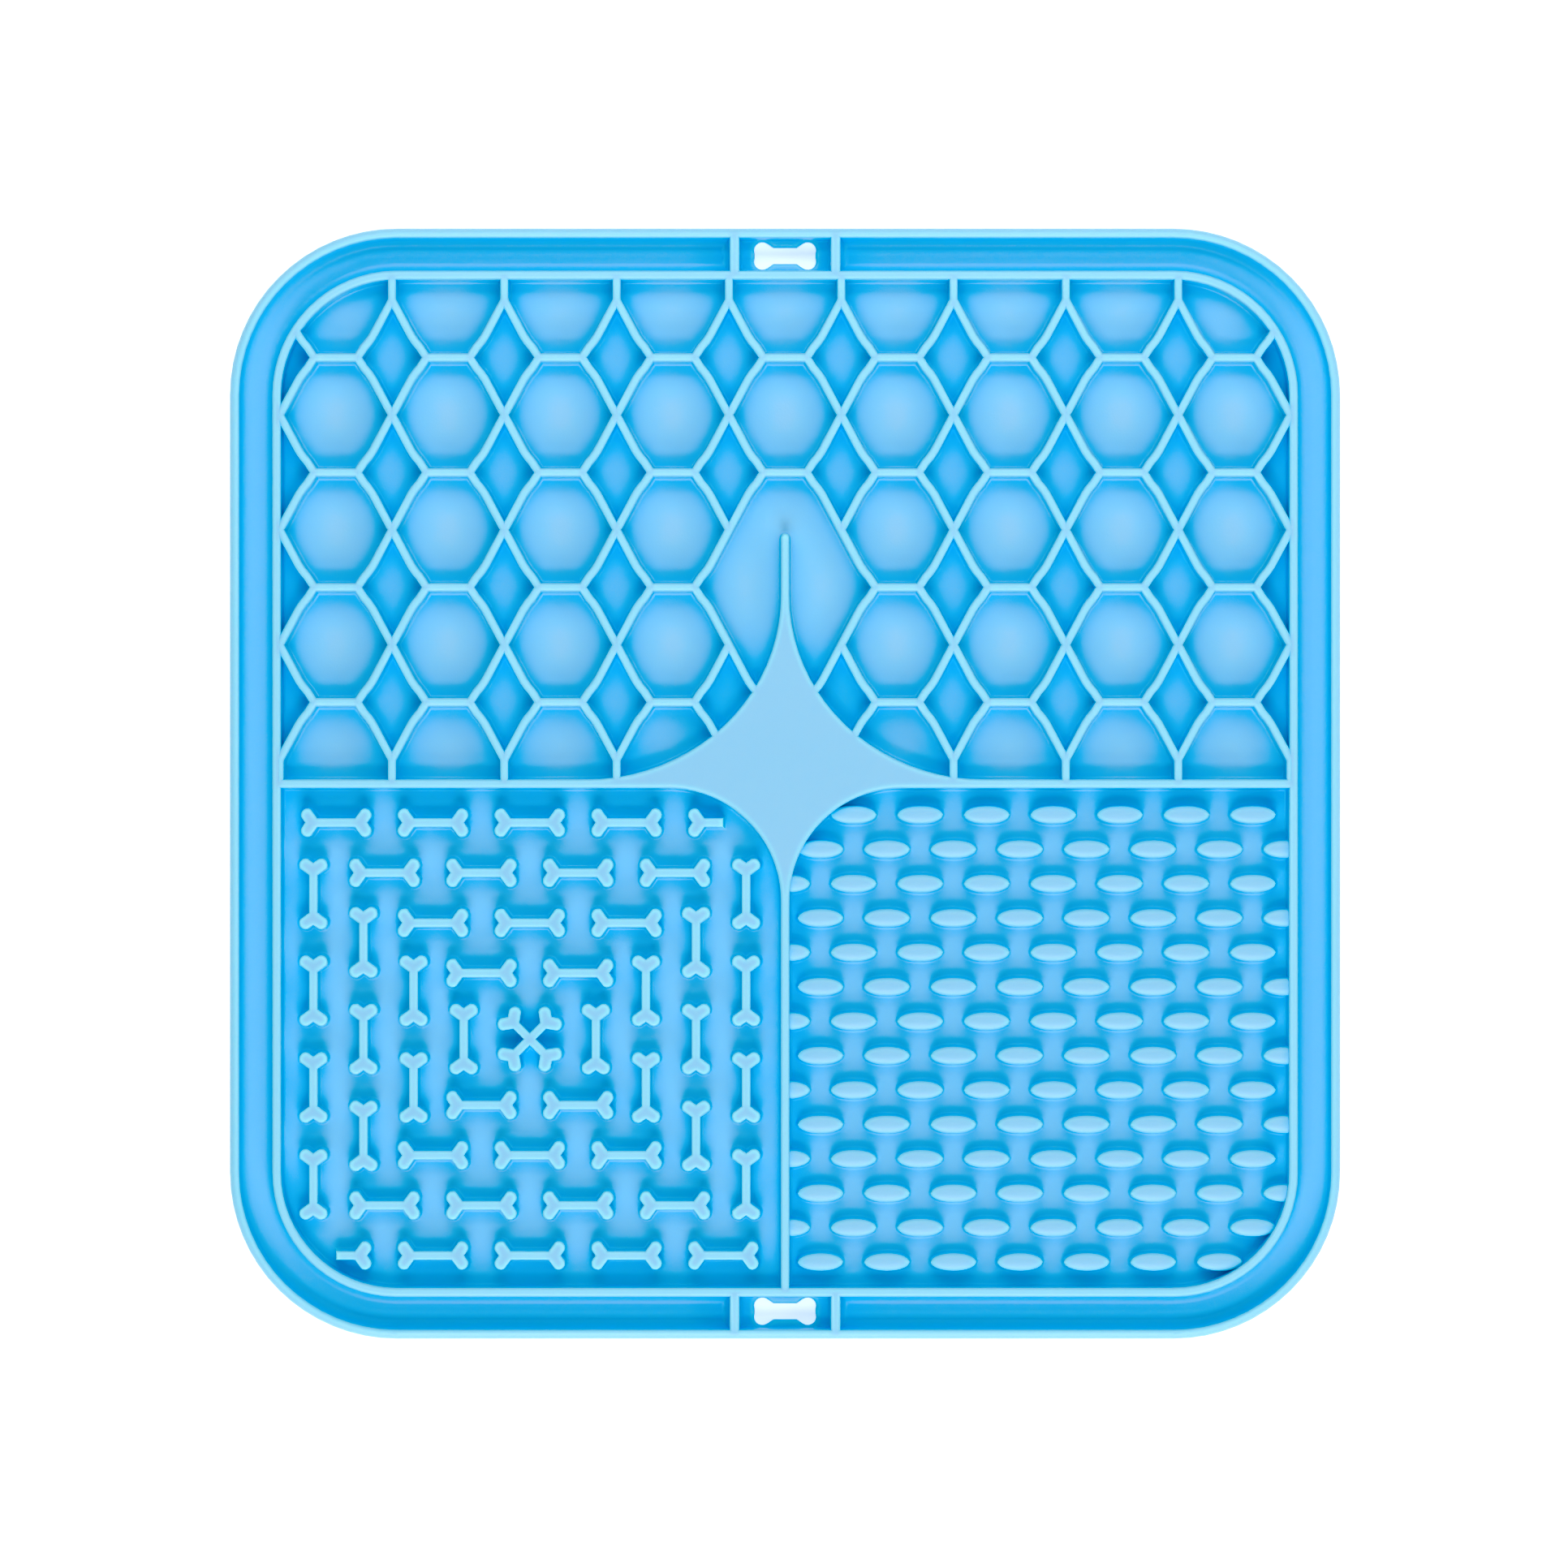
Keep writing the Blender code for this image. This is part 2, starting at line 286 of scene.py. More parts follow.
def rounded_square(edge):
    """A square with round corners whose sides lie at edge."""
    corners = ((1, 1, 0), (-1, 1, 90), (-1, -1, 180), (1, -1, 270))
    return [point for sx, sy, start in corners for point in corner(edge, sx, sy, start)]


def mirrored(points):
    """The same outline on the other side of X = 0."""
    return [(-x, y) for x, y in reversed(points)]


def turned(outline, degrees):
    """The same outline turned about the origin."""
    c, s = math.cos(math.radians(degrees)), math.sin(math.radians(degrees))
    return [(x * c - y * s, x * s + y * c) for x, y in outline]


def edges_of(sizes):
    """Distances from the middle to the moat's outer side, its inner side and the panels' edge."""
    moat_outer = sizes.half_side - LIP_WIDTH
    moat_inner = moat_outer - MOAT_WIDTH
    return moat_outer, moat_inner, moat_inner - RIM_WIDTH


def moat_half(sizes, out):
    """The right-hand half of the moat, widened all round by out."""
    outer, inner, _ = edges_of(sizes)
    outer, inner, end = outer + out, inner - out, TAB_HALF - out
    return (
        [(end, -outer)]
        + corner(outer, 1, -1, 270)
        + corner(outer, 1, 1, 0)
        + [(end, outer), (end, inner)]
        + corner(inner, 1, 1, 90, -90)
        + corner(inner, 1, -1, 0, -90)
        + [(end, -inner)]
    )


def tab_pocket(sizes, side, out):
    """The recess between a hanging tab's two cross ribs, widened all round by out."""
    outer, inner, _ = edges_of(sizes)
    low, high = sorted((side * (outer + out), side * (inner - out)))
    half = TAB_HALF - TAB_RIB + out
    return [(-half, low), (half, low), (half, high), (-half, high)]


def upper_panel(sizes, out):
    """The panel above the horizontal divider, less the star and its spike."""
    edge = edges_of(sizes)[2] + out
    half_spike = SPIKE_WIDTH / 2
    centre = (half_spike + STAR_SPREAD, DIVIDER / 2 + STAR_RISE)
    curve = arc(centre, (STAR_SPREAD + out, STAR_RISE + out), 270, 180, STAR_STEPS)
    radius = half_spike - out
    *tip, end = arc((0, SPIKE_TIP - half_spike), (radius, radius), 0, 90, SPIKE_TIP_STEPS)
    right = [(edge, DIVIDER / 2 - out)] + curve + tip
    return (
        right
        + [end]
        + mirrored(right)
        + corner(edge, -1, 1, 180, -90)
        + corner(edge, 1, 1, 90, -90)
    )


def lower_panel(sizes, out):
    """The right-hand lower panel: round corners at the star and the rim, square ones between."""
    edge = edges_of(sizes)[2] + out
    half = DIVIDER / 2
    centre = (half + STAR_LOWER_RADIUS, -half - STAR_LOWER_RADIUS)
    radius = STAR_LOWER_RADIUS + out
    return (
        [(edge, out - half)]
        + arc(centre, (radius, radius), 90, 180, STAR_STEPS)
        + [(half - out, -edge)]
        + corner(edge, 1, -1, 270)
    )


def slant(x, y, side, down):
    """Centre line of a slanted rib, from a bar's knee to the crossing half a pitch away."""
    rise = -1 if down else 1
    half = CELL_PITCH_Y / 2
    bend = [(x + side * bx, y + rise * (half - by)) for bx, by in reversed(SLANT_BEND)]
    return [(x + side * KNEE, y)] + bend + [(x + side * CELL_PITCH_X / 2, y + rise * half)]


def bar_y(row):
    """Centre line of a row of level ribs."""
    return FIRST_BAR + row * CELL_PITCH_Y


def hexagon():
    """Centre lines round the barrel-shaped cell at the origin."""
    low, high = -CELL_PITCH_Y / 2, CELL_PITCH_Y / 2
    right = slant(0, low, 1, False) + slant(0, high, 1, True)[-2::-1]
    return right + mirrored(right)


def edge_cell(row, wall_y):
    """A cell between a bar and a wall, whose ribs run straight once they reach the crossings."""
    right = slant(0, bar_y(row), 1, wall_y < bar_y(row)) + [(CELL_PITCH_X / 2, wall_y)]
    return right + mirrored(right)


def diamond():
    """The cell between four slanted ribs, centred on the origin."""
    left, right = -CELL_PITCH_X / 2, CELL_PITCH_X / 2
    return (
        slant(left, 0, 1, True)[::-1]
        + slant(left, 0, 1, False)[1:]
        + slant(right, 0, -1, False)[-2::-1]
        + slant(right, 0, -1, True)[1:-1]
    )


def centre_cell():
    """The tall cell round the star's spike: two hexagons and the diamonds beside them."""
    neighbour = bar_y(CENTRE_CELL_BAR - 1)
    upper = slant(0, bar_y(CENTRE_CELL_BAR), 1, True)
    outward = slant(CELL_PITCH_X, neighbour, -1, False)[-2::-1]
    inward = slant(CELL_PITCH_X, neighbour, -1, True)[1:]
    lower = slant(0, bar_y(CENTRE_CELL_BAR - 2), 1, False)[-2::-1]
    right = upper + outward + inward + lower
    return right + mirrored(right)


def knob(half_length, half_height, lobe, out, steps):
    """The round upper lobe at the end of a bone that lies along +X."""
    centre = (half_length - lobe, half_height - lobe)
    return arc(centre, (lobe + out, lobe + out), LOBE_START, LOBE_END, steps)


def bone_end(out):
    """One end of a bone that lies along +X, from the shaft's top edge round to its bottom edge."""
    lobe = knob(BONE_HALF, BONE_KNOB_HALF, BONE_LOBE, out, BONE_LOBE_STEPS)
    upper = [(BONE_NECK, BONE_SHAFT / 2 + out)] + lobe
    notch = (BONE_HALF - BONE_NOTCH + out, 0.0)
    return upper + [notch] + [(x, -y) for x, y in reversed(upper)]


def bone(out):
    """A whole bone along X, centred on the origin."""
    end = bone_end(out)
    return end + [(-x, -y) for x, y in end]


def half_bone(out):
    """The half of a bone that lies along +X, cut off square at the origin."""
    half_shaft = BONE_SHAFT / 2 + out
    return [(-out, half_shaft)] + bone_end(out) + [(-out, -half_shaft)]


def crossed_bones(out):
    """Four short limbs at right angles, each with a knob."""
    half_shaft = BONE_SHAFT / 2 + out
    shift = CROSSED_LIMB - BONE_HALF
    limb = [(half_shaft, half_shaft)] + [(x + shift, y) for x, y in bone_end(out)]
    return [point for degrees in (45, -45, -135, 135) for point in turned(limb, degrees)]


def oval(out):
    """An ellipse with slightly blunter ends."""
    points = []
    for x, y in arc((0, 0), (1, 1), 0, 360, OVAL_SIDES)[:-1]:
        bulge = (abs(x) ** OVAL_BLUNTNESS + abs(y) ** OVAL_BLUNTNESS) ** (-1 / OVAL_BLUNTNESS)
        points.append((x * bulge * (OVAL_LONG / 2 + out), y * bulge * (OVAL_SHORT / 2 + out)))
    return points


def eyelet(out):
    """A bone-shaped hole, with two round lobes at each end."""
    lobe = knob(EYELET_HALF, EYELET_KNOB_HALF, EYELET_LOBE, out, EYELET_LOBE_STEPS)
    upper = [(EYELET_NECK, EYELET_SHAFT / 2 + out)] + lobe
    end = upper + [(x, -y) for x, y in reversed(upper)]
    return end + [(-x, -y) for x, y in end]


# ------------------------------------------------------------------ modelling


def deselect():
    """Object mode with nothing selected."""
    if bpy.context.mode != "OBJECT":
        bpy.ops.object.mode_set(mode="OBJECT")
    bpy.ops.object.select_all(action="DESELECT")


def make_active(obj):
    """Selects one object and nothing else."""
    deselect()
    obj.select_set(True)
    bpy.context.view_layer.objects.active = obj


@contextmanager
def editing(obj):
    """Edit mode on one object, picking faces, with none picked."""
    make_active(obj)
    bpy.ops.object.mode_set(mode="EDIT")
    bpy.ops.mesh.select_mode(type="FACE")
    bpy.ops.mesh.select_all(action="DESELECT")
    yield bmesh.from_edit_mesh(obj.data)
    bpy.ops.object.mode_set(mode="OBJECT")


def flat_shape(name, points, z):
    """A filled circle whose corners are put on an outline, facing up."""
    deselect()
    bpy.ops.mesh.primitive_circle_add(vertices=len(points), fill_type="NGON", radius=CLEAR)
    obj = bpy.context.object
    obj.name = name
    for vertex, (x, y) in zip(obj.data.vertices, points):
        vertex.co = (x, y, z)
    obj.data.update()
    if obj.data.polygons[0].normal.z < 0:
        obj.data.flip_normals()
    return obj


def block(name, points, low, high):
    """An outline raised into a closed upright block."""
    obj = flat_shape(name, points, low)
    with editing(obj):
        bpy.ops.mesh.select_all(action="SELECT")
        bpy.ops.mesh.extrude_region_move(TRANSFORM_OT_translate={"value": (0, 0, high - low)})
        bpy.ops.mesh.select_all(action="SELECT")
        bpy.ops.mesh.normals_make_consistent(inside=False)
    return obj


def inset_in_steps(steps):
    """Insets the selected faces by steps of (inward, onward)."""
    for inward, onward in steps:
        bpy.ops.mesh.inset(
            thickness=inward, depth=onward, use_even_offset=True, use_individual=True
        )


def select_end(mesh, direction):
    """Selects the faces of a block's upper end (direction 1) or lower end (-1)."""
    for face in mesh.faces:
        face.select_set(face.normal.z * direction > FACING)


def shape_end(obj, direction, steps):
    """Insets a block's upper or lower end by steps of (inward, onward)."""
    with editing(obj) as mesh:
        select_end(mesh, direction)
        inset_in_steps(steps)


def quarter_turn(radius, from_flat):
    """Steps round a quarter circle, from a flat face into a wall or the other way."""
    angles = [math.radians(90 * k / STEPS) for k in range(STEPS + 1)]
    along = [radius * math.sin(a) for a in angles]
    across = [radius * (1 - math.cos(a)) for a in angles]
    first, second = (along, across) if from_flat else (across, along)
    return [(first[k + 1] - first[k], second[k + 1] - second[k]) for k in range(STEPS)]


def flare(radius):
    """From a flat surface into a wall, with a short lead that starts just outside the surface."""
    steps = quarter_turn(radius, True)
    steps[0] = (steps[0][0] + LEAD, steps[0][1] + OVERRUN)
    return steps


def roll_over(radius):
    """From a wall onto a flat end."""
    return quarter_turn(radius, False)


def recess(name, outline, sizes, floor_round):
    """A tool that cuts one recess: flared mouth, drafted wall and rounded floor edge."""
    top, floor = sizes.wall_top, sizes.floor_top
    tool = block(name, outline(EDGE + LEAD), top + OVERRUN, top + CLEAR)
    wall = top - floor - EDGE - floor_round
    shape_end(tool, -1, flare(EDGE) + [(DRAFT, wall)] + roll_over(floor_round))
    return tool


def bump(name, outline, top, sizes):
    """A raised shape that grows out of the floor: flared foot, drafted wall and flat top."""
    floor = sizes.floor_top
    body = block(name, outline(DRAFT + FOOT + LEAD), floor - SINK, floor - OVERRUN)
    shape_end(body, 1, flare(FOOT) + [(DRAFT, top - floor - FOOT)])
    return body


def ridge(name, outline, top, sizes):
    """A bump with a rounded edge round its flat top."""
    body = bump(name, outline, top - BONE_ROUND, sizes)
    shape_end(body, 1, roll_over(BONE_ROUND))
    return body


def dome(name, outline, top, rise, sizes):
    """A bump whose top rises in shrinking rings to a small flat crown."""
    body = bump(name, outline, top - rise, sizes)
    turns = [math.radians(90 * k / (DOME_STEPS + DOME_CROWN)) for k in range(DOME_STEPS + 1)]
    with editing(body) as mesh:
        select_end(mesh, 1)
        for last, turn in zip(turns, turns[1:]):
            lift = rise * (math.sin(turn) - math.sin(last))
            shrink = math.cos(turn) / math.cos(last)
            bpy.ops.mesh.extrude_region_move(TRANSFORM_OT_translate={"value": (0, 0, lift)})
            bpy.ops.transform.resize(value=(shrink, shrink, 1))
    return body


def copies(source, places):
    """Copies of a shape, each with its own mesh, turned and moved; the first shape is removed."""
    made = []
    for x, y, turn in places:
        twin = source.copy()
        twin.data = source.data.copy()
        bpy.context.scene.collection.objects.link(twin)
        rotation = Matrix.Rotation(math.radians(turn), 4, "Z")
        twin.data.transform(Matrix.Translation((x, y, 0)) @ rotation)
        made.append(twin)
    bpy.data.objects.remove(source, do_unlink=True)
    return made


def joined(name, objects):
    """One object from several that lie apart."""
    deselect()
    for obj in objects:
        obj.select_set(True)
    bpy.context.view_layer.objects.active = objects[0]
    bpy.ops.object.join()
    objects[0].name = name
    return objects[0]


def combine(obj, operation, tool):
    """Applies a Boolean and removes its tool."""
    make_active(obj)
    modifier = obj.modifiers.new(operation.title(), "BOOLEAN")
    modifier.operation = operation
    modifier.solver = "MANIFOLD"
    modifier.object = tool
    bpy.ops.object.modifier_apply(modifier=modifier.name)
    bpy.data.objects.remove(tool, do_unlink=True)


def trim_to(obj, outline, sizes):
    """Cuts off what stands outside an outline, from inside the base up."""
    trim = block("trim", outline, sizes.floor_top / 4, sizes.wall_top + CLEAR)
    combine(obj, "INTERSECT", trim)


def find(name):
    """An object that an earlier step has made."""
    obj = bpy.data.objects.get(name)
    if obj is None:
        raise RuntimeError(f"{name} has to be made first")
    return obj


# ------------------------------------------------------------------ operators


class MatOperator:
    """What every step shares."""

    bl_options = {"REGISTER", "UNDO"}

    @property
    def sizes(self):
        return bpy.context.scene.lick_mat_sizes


class LICKMAT_OT_blank(MatOperator, bpy.types.Operator):
    """Make the solid blank with its round corners and soft edges"""

    bl_idname = "lick_mat.blank"
    bl_label = "Blank"

    def execute(self, context):
        sizes = self.sizes
        blank = block(
            "lick_mat",
            rounded_square(sizes.half_side),
            UNDERSIDE_ROUND,
            sizes.wall_top - OUTER_EDGE,
        )
        shape_end(blank, 1, roll_over(OUTER_EDGE))
        shape_end(blank, -1, roll_over(UNDERSIDE_ROUND))
        return {"FINISHED"}


class LICKMAT_OT_recesses(MatOperator, bpy.types.Operator):
    """Cut the moat, the two tab pockets and the three panels into the blank"""

    bl_idname = "lick_mat.recesses"
    bl_label = "Recesses"

    def execute(self, context):
        sizes = self.sizes
        outlines = (
            ("moat_right", lambda out: moat_half(sizes, out), MOAT_FLOOR_ROUND),
            ("moat_left", lambda out: mirrored(moat_half(sizes, out)), MOAT_FLOOR_ROUND),
            ("tab_top", lambda out: tab_pocket(sizes, 1, out), FLOOR_ROUND),
            ("tab_bottom", lambda out: tab_pocket(sizes, -1, out), FLOOR_ROUND),
            ("upper_panel", lambda out: upper_panel(sizes, out), FLOOR_ROUND),
            ("bones_panel", lambda out: mirrored(lower_panel(sizes, out)), FLOOR_ROUND),
            ("ovals_panel", lambda out: lower_panel(sizes, out), FLOOR_ROUND),
        )
        tools = [recess(name, outline, sizes, curve) for name, outline, curve in outlines]
        combine(find("lick_mat"), "DIFFERENCE", joined("recess_tools", tools))
        return {"FINISHED"}


class LICKMAT_OT_lattice(MatOperator, bpy.types.Operator):
    """Raise the lattice of barrel-shaped hexagon cells and diamonds"""

    bl_idname = "lick_mat.lattice"
    bl_label = "Cell lattice"

    def cell(self, name, outline):
        """One cell sunk from the ribs' centre lines down to below the floor."""
        top = self.sizes.wall_top - HAIR
        cell = flat_shape(name, outline, top)
        wall = top - self.sizes.floor_top - EDGE - FLOOR_ROUND
        down = quarter_turn(EDGE, True) + [(DRAFT, wall)] + roll_over(FLOOR_ROUND)
        down[-1] = (down[-1][0] + LEAD, down[-1][1] + OVERRUN)
        with editing(cell):
            bpy.ops.mesh.select_all(action="SELECT")
            inset_in_steps([(RIB / 2 - EDGE, 0.0)])
            inset_in_steps([(inward, -onward) for inward, onward in down])
            inset_in_steps([(0.0, -SINK)])
        return cell

    def execute(self, context):
        sizes = self.sizes
        columns = range(-CELL_COLUMNS, CELL_COLUMNS + 1)
        px, py = CELL_PITCH_X, CELL_PITCH_Y
        # The centre cell takes the place of two hexagons and the two diamonds beside it.
        hexagons = [
            (column * px, bar_y(row) + py / 2, 0)
            for column in columns
            for row in range(BAR_ROWS - 1)
            if column or row == BAR_ROWS - 2
        ]
        diamonds = [
            ((column + 0.5) * px, bar_y(row), 0)
            for column in range(-CELL_COLUMNS - 1, CELL_COLUMNS + 1)
            for row in range(BAR_ROWS)
            if column not in (-1, 0) or row != CENTRE_CELL_BAR - 1
        ]
        along = [(column * px, 0, 0) for column in columns]
        cells = (
            copies(self.cell("hexagon", hexagon()), hexagons)
            + copies(self.cell("diamond", diamond()), diamonds)
            + copies(self.cell("top_cell", edge_cell(BAR_ROWS - 1, edges_of(sizes)[0])), along)
            + copies(self.cell("bottom_cell", edge_cell(0, -CLEAR)), along)
            + [self.cell("centre_cell", centre_cell())]
        )
        lattice = joined("lattice", cells)
        with editing(lattice):
            bpy.ops.mesh.select_mode(type="EDGE")
            bpy.ops.mesh.select_all(action="SELECT")
            bpy.ops.mesh.remove_doubles(threshold=HAIR)
            # The cells now share their ribs' centre lines, so only the outer rim is open. It is
            # taken down into the base and closed there.
            bpy.ops.mesh.select_all(action="DESELECT")
            bpy.ops.mesh.select_non_manifold(extend=False)
            bpy.ops.mesh.extrude_region_move(
                TRANSFORM_OT_translate={"value": (0, 0, -sizes.wall_top + sizes.floor_top / 2)}
            )
            bpy.ops.mesh.edge_face_add()
            bpy.ops.mesh.select_all(action="SELECT")
            bpy.ops.mesh.normals_make_consistent(inside=False)
        trim_to(lattice, upper_panel(sizes, OVERLAP), sizes)
        combine(find("lick_mat"), "UNION", lattice)
        return {"FINISHED"}


class LICKMAT_OT_bones(MatOperator, bpy.types.Operator):
    """Raise the rings of bone-shaped ridges round the crossed pair"""

    bl_idname = "lick_mat.bones"
    bl_label = "Bone ridges"

    def execute(self, context):
        sizes, middle = self.sizes, BONES_CENTRE
        whole, halves = [], []
        for ring in range(BONE_RINGS):
            offset = FIRST_RING + ring * RING_PITCH
            outermost = ring == BONE_RINGS - 1
            for side in (-1, 1):
                # A ring's level sides have one bone more than its upright ones. At two opposite
                # corners of the outermost ring there is room for only half a bone.
                for k in range(ring + 2):
                    x = (k - (ring + 1) / 2) * BONE_PITCH
                    cut_short = outermost and k == (ring + 1 if side > 0 else 0)
                    turn = 180 if cut_short and side > 0 else 0
                    places = halves if cut_short else whole
                    places.append((middle + x, middle + side * offset, turn))
                for k in range(ring + 1):
                    y = (k - ring / 2) * BONE_PITCH
                    whole.append((middle + side * offset, middle + y, 90))
        shapes = []
        for name, outline, places in (
            ("bone", bone, whole),
            ("half_bone", half_bone, halves),
            ("crossed_bones", crossed_bones, [(middle, middle, 0)]),
        ):
            shapes += copies(ridge(name, outline, sizes.bone_top, sizes), places)
        combine(find("lick_mat"), "UNION", joined("bones", shapes))
        return {"FINISHED"}


class LICKMAT_OT_ovals(MatOperator, bpy.types.Operator):
    """Raise the staggered rows of oval bumps"""

    bl_idname = "lick_mat.ovals"
    bl_label = "Oval bumps"

    def execute(self, context):
        sizes = self.sizes
        places = [
            (
                FIRST_OVAL_COLUMN + (row % 2) * OVAL_PITCH_X / 2 + column * OVAL_PITCH_X,
                -FIRST_OVAL_ROW - row * OVAL_PITCH_Y,
                0,
            )
            for row in range(OVAL_ROWS)
            for column in range(OVAL_COLUMNS)
        ]
        first = dome("oval", oval, sizes.oval_top, OVAL_RISE, sizes)
        ovals = joined("ovals", copies(first, places))
        trim_to(ovals, lower_panel(sizes, OVERLAP), sizes)
        combine(find("lick_mat"), "UNION", ovals)
        return {"FINISHED"}


class LICKMAT_OT_eyelets(MatOperator, bpy.types.Operator):
    """Cut the bone-shaped eyelet through each hanging tab"""

    bl_idname = "lick_mat.eyelets"
    bl_label = "Eyelets"

    def execute(self, context):
        floor = self.sizes.floor_top
        tool = block("eyelet", eyelet(EDGE + LEAD), floor + OVERRUN, floor + CLEAR)
        shape_end(tool, -1, flare(EDGE) + [(0.0, floor + CLEAR)])
        tools = copies(tool, [(0, EYELET_Y, 0), (0, -EYELET_Y, 0)])
        combine(find("lick_mat"), "DIFFERENCE", joined("eyelet_tools", tools))
        return {"FINISHED"}


class LICKMAT_OT_finish(MatOperator, bpy.types.Operator):
    """Smooth the moulding, give it its silicone and set it in the frame"""

    bl_idname = "lick_mat.finish"
    bl_label = "Finish"

    def execute(self, context):
        mat = find("lick_mat")
        make_active(mat)
        bpy.ops.object.shade_smooth_by_angle(angle=math.radians(SMOOTH_UNDER))
        weighted = mat.modifiers.new("Weighted", "WEIGHTED_NORMAL")
        weighted.keep_sharp = True
        bpy.ops.object.modifier_apply(modifier=weighted.name)
        mat.data.materials.clear()
        mat.data.materials.append(silicone_material(context.scene.lick_mat_finish))
        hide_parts("mat", "hanging_tab_top", "hanging_tab_bottom")
        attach(mat, "root")
        return {"FINISHED"}


# ------------------------------------------------------------------ materials


def add_node(tree, kind, inputs=(), **settings):
    """Adds a node; inputs are (input, value), and a value that is a socket is linked to."""
    node = tree.nodes.new(kind)
    for key, value in settings.items():
        setattr(node, key, value)
    for key, value in inputs:
        if isinstance(value, bpy.types.NodeSocket):
            tree.links.new(value, node.inputs[key])
        else:
            node.inputs[key].default_value = value
    return node


def silicone_material(finish):
    """Moulded silicone: pale where it is open, with painted shade in the grooves.

    The base colour is painted a deeper blue the more closed in the surface is. This is painted
    shade, for light that falls into a groove and passes through the blue silicone many times before
    it comes out.
    Thin edges are painted a paler cyan as a painted highlight. The mould was lightly blasted, which
    leaves a satin skin that keeps only broad, soft highlights.
    """
    material = bpy.data.materials.new("moulded_silicone")
    material.use_nodes = True
    tree = material.node_tree
    shader = tree.nodes["Principled BSDF"]
    place = add_node(tree, "ShaderNodeTexCoord").outputs["Object"]

    # Painted shade: ambient occlusion turns the base colour towards the deep colour in the grooves.
    shade_openness = add_node(
        tree, "ShaderNodeAmbientOcclusion", [("Distance", SHADE_REACH)], samples=PAINTED_LIGHT_SAMPLES
    )
    depth = add_node(
        tree,
        "ShaderNodeMapRange",
        [("Value", shade_openness.outputs["AO"]), ("From Min", SHADE_CLOSED), ("From Max", SHADE_OPEN)],
    )
    colour = add_node(
        tree,
        "ShaderNodeMix",
        [(0, depth.outputs["Result"]), (6, finish.shade_colour), (7, finish.face_colour)],
        data_type="RGBA",
    )

    # Painted highlight: thin edges are painted a clearer, paler cyan, for the glow of light that
    # passes through them.
    thickness = add_node(
        tree,
        "ShaderNodeAmbientOcclusion",
        [("Distance", GLOW_REACH)],
        samples=PAINTED_LIGHT_SAMPLES,
        inside=True,
    )
    edge = add_node(
        tree,
        "ShaderNodeMapRange",
        [("Value", thickness.outputs["AO"]), ("From Min", 1.0), ("From Max", GLOW_THIN)],
    )
    glow_painted = add_node(
        tree,
        "ShaderNodeMix",
        [(0, edge.outputs["Result"]), (6, colour.outputs[2]), (7, finish.glow_colour)],
        data_type="RGBA",
    )

    # The pigment is never stirred in quite evenly: faint clouds a few centimetres across.
    clouds = add_node(
        tree, "ShaderNodeTexNoise", [("Vector", place), ("Scale", 1 / CLOUD_SIZE), ("Detail", 3.0)]
    )
    tint = add_node(
        tree,
        "ShaderNodeMix",
        [(0, clouds.outputs["Fac"]), (6, CLOUD_TINT), (7, linear("#FFFFFF"))],
        data_type="RGBA",
    )
    tinted = add_node(
        tree,
        "ShaderNodeMix",
        [(0, 1.0), (6, glow_painted.outputs[2]), (7, tint.outputs[2])],
        data_type="RGBA",
        blend_type="MULTIPLY",
    )
    tree.links.new(tinted.outputs[2], shader.inputs["Base Color"])
    rough = add_node(
        tree,
        "ShaderNodeMapRange",
        [
            ("Value", clouds.outputs["Fac"]),
            ("To Min", finish.roughness - ROUGHNESS_SPREAD),
            ("To Max", finish.roughness + ROUGHNESS_SPREAD),
        ],
    )
    tree.links.new(rough.outputs["Result"], shader.inputs["Roughness"])

    # Blasted grain is about 0.05 mm on the real mould, and is drawn coarser so that it shows.
    grain = add_node(
        tree, "ShaderNodeTexNoise", [("Vector", place), ("Scale", 1 / GRAIN_SIZE), ("Detail", 2.0)]
    )
    bump = add_node(
        tree,
        "ShaderNodeBump",
        [
            ("Height", grain.outputs["Fac"]),
            ("Strength", GRAIN_STRENGTH),
            ("Distance", GRAIN_DEPTH),
        ],
    )
    tree.links.new(bump.outputs["Normal"], shader.inputs["Normal"])

    shader.inputs["IOR"].default_value = SILICONE_IOR
    shader.inputs["Subsurface Weight"].default_value = finish.translucency
    shader.inputs["Subsurface Radius"].default_value = LIGHT_REACH
    shader.inputs["Subsurface Scale"].default_value = LIGHT_REACH_SCALE
    return material


def floor_material():
    """Matt white acrylic, lit a little from below like a light table."""
    material = bpy.data.materials.new("matt_acrylic_floor")
    material.use_nodes = True
    shader = material.node_tree.nodes["Principled BSDF"]
    shader.inputs["Base Color"].default_value = linear("#F7F8F8")
    shader.inputs["Roughness"].default_value = FLOOR_ROUGHNESS
    shader.inputs["Emission Color"].default_value = linear("#FFFFFF")
    shader.inputs["Emission Strength"].default_value = FLOOR_GLOW
    return material


